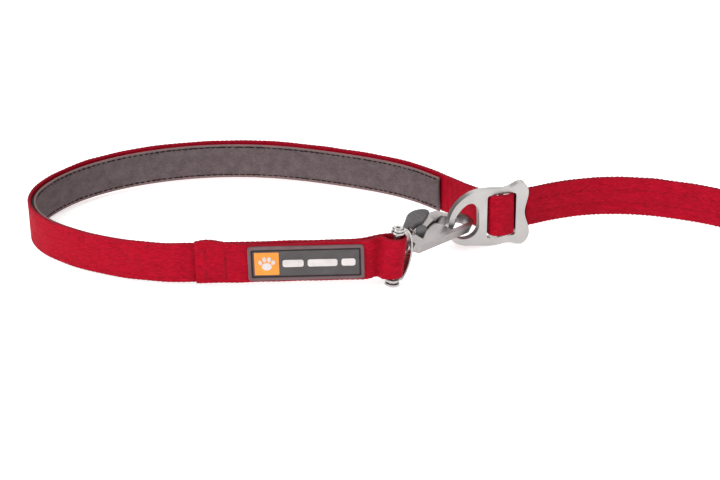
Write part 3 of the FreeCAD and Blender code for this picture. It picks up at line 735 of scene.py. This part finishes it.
label = [
    tile("label_base", label_outline(0.4, 1.2), FACE + 0.05, FACE - 0.5, LABEL_DARK),
    tile("label_border", label_outline(0, 1.5), FACE, FACE - 1.1, LABEL_RIM, 0.2,
         label_outline(1.5, 0.8)),
    tile("label_panel", label_outline(2.3, 0.5), FACE - 0.3, FACE - 0.85, LABEL),
    tile("label_square", rounded(X0 + 3.0, LABEL_LOW + 2.9, X0 + 14.2, LABEL_HIGH - 2.9, 0.4),
         FACE - 0.5, FACE - 1.0, ORANGE),
]
paw_x, paw_z = X0 + 8.6, LABEL_LOW + 7.3
paw = [oval(paw_x, paw_z - 0.1, 2.3, 1.9),
       oval(paw_x - 2.9, paw_z + 1.9, 0.85, 1.2, 0.35),
       oval(paw_x - 1.0, paw_z + 3.4, 0.9, 1.3, 0.1),
       oval(paw_x + 1.2, paw_z + 3.4, 0.9, 1.3, -0.1),
       oval(paw_x + 3.0, paw_z + 1.9, 0.85, 1.2, -0.35)]
for i, outline in enumerate(paw):
    label.append(tile("label_paw_%d" % i, outline, FACE - 0.8, FACE - 1.2, PALE, 0.15))
for i, (start, long) in enumerate([(15.8, 9.6), (27.2, 13.6), (42.6, 6.4)]):
    bar = rounded(X0 + start, LABEL_LOW + 6.7, X0 + start + long, LABEL_LOW + 10.3, 1.1)
    label.append(tile("label_bar_%d" % i, bar, FACE - 0.7, FACE - 1.1, PALE, 0.15))
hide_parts("label_patch")
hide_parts("label_emblem")
label_stitches = stitch_rows(
    "label_stitches", nurbs_line([(X1 - 0.9, FACE, 0), (X0 + 0.9, FACE, 0)], 0.4),
    [(0.98, LABEL_LOW + 0.75, 1), (0.98, LABEL_HIGH - 0.75, 1)],
    pitch=2.2, long=1.5, radius=0.13, mat=THREAD_DARK, placed=handle_placed)


# ---------------------------------------------------------------- hardware

def finish_metal(node, mat, soft):
    """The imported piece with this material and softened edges."""
    obj = nodes[node]
    obj.data.materials.clear()
    obj.data.materials.append(mat)
    weld = obj.modifiers.new("weld", "WELD")
    weld.merge_threshold = 1e-6
    bevel = obj.modifiers.new("soft_edges", "BEVEL")
    bevel.width = soft * MM
    bevel.segments = 3
    bevel.limit_method = "ANGLE"
    bevel.angle_limit = math.radians(38)
    bevel.harden_normals = True


CLIP_PARTS = (("pin", STEEL, 0.15), ("pin_screw", STEEL, 0.12), ("bow", STEEL, 0.3),
              ("swivel_rivet", STEEL, 0.15), ("hook", CLIP, 0.35), ("gate", CLIP, 0.3),
              ("gate_pad", PAD, 0.6), ("gate_pin", STEEL, 0.1), ("gate_spring", STEEL, 0.05))
finish_metal("slider_ring", RING, 0.55)
for end in ("near", "far"):
    for part, mat, soft in CLIP_PARTS:
        finish_metal(end + "_" + part, mat, soft)

GATE_PIVOT = (20.5, 4.6)                    # in the hook's own plan
joints = {j["name"]: j for j in frame["record"]["behaviour"]["joints"]}


def hook_placed(end):
    """Millimetres in a hook's own plan, with depth below its middle plane, to the row frame."""
    along = Vector(joints[end + "_swivel_turn"]["axis"]).normalized()
    up = Vector(joints[end + "_gate_open"]["axis"]).normalized()
    across = up.cross(along)
    pivot = Vector(joints[end + "_gate_open"]["pos_m"]) / MM
    origin = pivot - along * GATE_PIVOT[0] - across * GATE_PIVOT[1]
    turn = np.array([along[:], (-up)[:], across[:]])
    return lambda verts: np.array(verts, float) @ turn + np.array(origin[:])


PAD_BACK = [(20.6, 8.6), (24.0, 9.8), (30.0, 10.7), (36.0, 11.2), (38.2, 11.0), (37.4, 13.0),
            (34.0, 14.4), (29.0, 14.9), (24.6, 14.2), (21.4, 12.2)]
PAD_CAP = [(18.4, 5.2), (22.0, 6.6), (26.6, 6.0), (31.0, 7.8), (36.4, 9.6), (38.2, 11.2),
           (37.0, 13.2), (33.6, 14.5), (29.0, 14.9), (24.4, 14.2), (20.8, 12.0), (18.4, 8.8)]
RIBS, RIB_FROM, RIB_PITCH, RIB_WIDE = 4, 23.6, 3.3, 1.1
pads = {}
for end in ("near", "far"):
    hook = hook_placed(end)
    pads[end] = [
        tile(end + "_pad_back", smooth_loop(PAD_BACK), 3.6, -3.6, PAD, 0.7, placed=hook),
        tile(end + "_pad_cap", smooth_loop(PAD_CAP), -2.5, -4.3, PAD, 0.7, placed=hook),
        # This dark patch below the pad is partly the slot the lever enters and partly the pad's
        # painted shadow.
        tile(end + "_pad_toe_and_shadow", oval(23.0, 3.6, 4.0, 2.3, 0.2), -0.75, -3.4, PAD, 0.6,
             placed=hook),
    ]
    for k in range(RIBS):
        x = RIB_FROM + RIB_PITCH * k
        rib = rounded(x, 8.6 + 0.5 * k, x + RIB_WIDE, 13.4, 0.5)
        pads[end].append(tile(end + "_pad_rib_%d" % k, rib, -4.1, -4.55, PAD, 0.2,
                              placed=hook))
    for part in pads[end]:
        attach(part, end + "_gate")
    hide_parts(end + "_gate_pad")


# ---------------------------------------------------------------- bodies

webbing = [handle_strap, outer_stitches, front_tacks, slider_tacks, lead_strap, lead_stitches,
           far_tacks]
padding = [lining, lining_stitches, end_tacks]
for piece in webbing + padding + [foam, label_stitches] + label:
    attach(piece, "leash")


# ---------------------------------------------------------------- stage, light and camera

FLOOR_HALF, FLOOR_Z = 4.0, -0.0004
floor_mat, floor_graph = material("floor_pale", (0.92, 0.92, 0.92), 0.9)
floor_graph.set("Emission Color", (1, 1, 1))
floor_graph.set("Emission Strength", 0.55)
floor_mesh = bpy.data.meshes.new("floor")
floor_mesh.from_pydata([(x * FLOOR_HALF, y * FLOOR_HALF, FLOOR_Z)
                        for x, y in ((-1, -1), (1, -1), (1, 1), (-1, 1))], [], [(0, 1, 2, 3)])
floor_mesh.materials.append(floor_mat)
floor = bpy.data.objects.new("floor", floor_mesh)
scene.collection.objects.link(floor)

world = bpy.data.worlds.new("studio")
scene.world = world
world.use_nodes = True
studio = Graph(world.node_tree, world.node_tree.nodes["Background"])
sky_place = studio.node("ShaderNodeTexCoord").outputs["Generated"]
upward = studio.node("ShaderNodeSeparateXYZ", Vector=sky_place).outputs["Z"]
studio.set("Color", studio.ramp(upward, [(0.0, 0.10), (0.35, 0.30), (0.75, 0.8)]))
studio.set("Strength", 0.6)


def area(name, at, aim, size, power):
    data = bpy.data.lights.new(name, "AREA")
    data.shape = "RECTANGLE"
    data.size = data.size_y = size
    data.energy = power
    obj = bpy.data.objects.new(name, data)
    obj.location = at
    obj.rotation_mode = "QUATERNION"
    obj.rotation_quaternion = (Vector(aim) - Vector(at)).to_track_quat("-Z", "Y")
    scene.collection.objects.link(obj)


area("key", (-0.9, -0.7, 0.95), (0, 0, 0.01), 0.8, 18)
area("fill", (1.0, -0.9, 0.8), (0.08, 0, 0.01), 0.9, 7)
area("back", (0.2, 1.1, 1.0), (0.05, 0, 0.01), 1.2, 7)

CAMERA_AT = Vector((0.0389, -0.9564, 0.44204))
CAMERA_AIM = Vector((0.0389, -0.0084, -0.00006))
cam = bpy.data.objects.new("camera", bpy.data.cameras.new("camera"))
cam.location = CAMERA_AT
cam.rotation_mode = "QUATERNION"
cam.rotation_quaternion = (CAMERA_AIM - CAMERA_AT).to_track_quat("-Z", "Y")
cam.data.sensor_width = 36.0
cam.data.lens = 109.0
cam.data.clip_start = 0.01
scene.collection.objects.link(cam)
scene.camera = cam
scene.view_settings.view_transform = "Standard"
